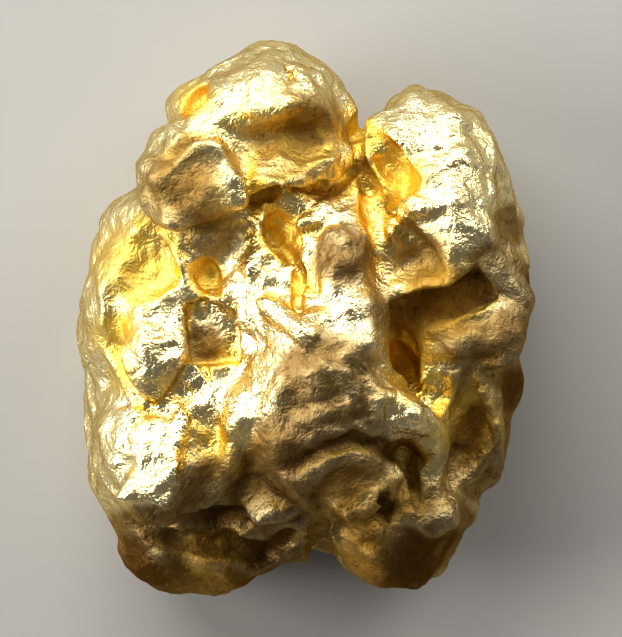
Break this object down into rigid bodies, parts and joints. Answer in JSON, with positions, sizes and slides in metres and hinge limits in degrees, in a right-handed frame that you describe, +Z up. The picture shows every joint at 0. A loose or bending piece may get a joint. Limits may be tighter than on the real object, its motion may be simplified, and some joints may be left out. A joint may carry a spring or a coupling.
{
  "type": "gold nugget",
  "caption": "Natural gold nugget: one solid lump of rounded lobes with deep pits, creases and ridges, two blunt feet, a domed crown and a horn, resting on a small worn flat.",
  "frame": {"origin": "middle of the footprint's bounding box, at the height of the worn flat that the nugget lies on", "axes": "+Y along the length, from the two feet to the crown; +X across, towards the horn's side; +Z up, out of the pitted upper face"},
  "size_m": [0.0116, 0.014, 0.0069],
  "materials": {
    "gold": "satin"
  },
  "bodies": {
    "root": {"nugget": "gold"}
  },
  "joints": []
}
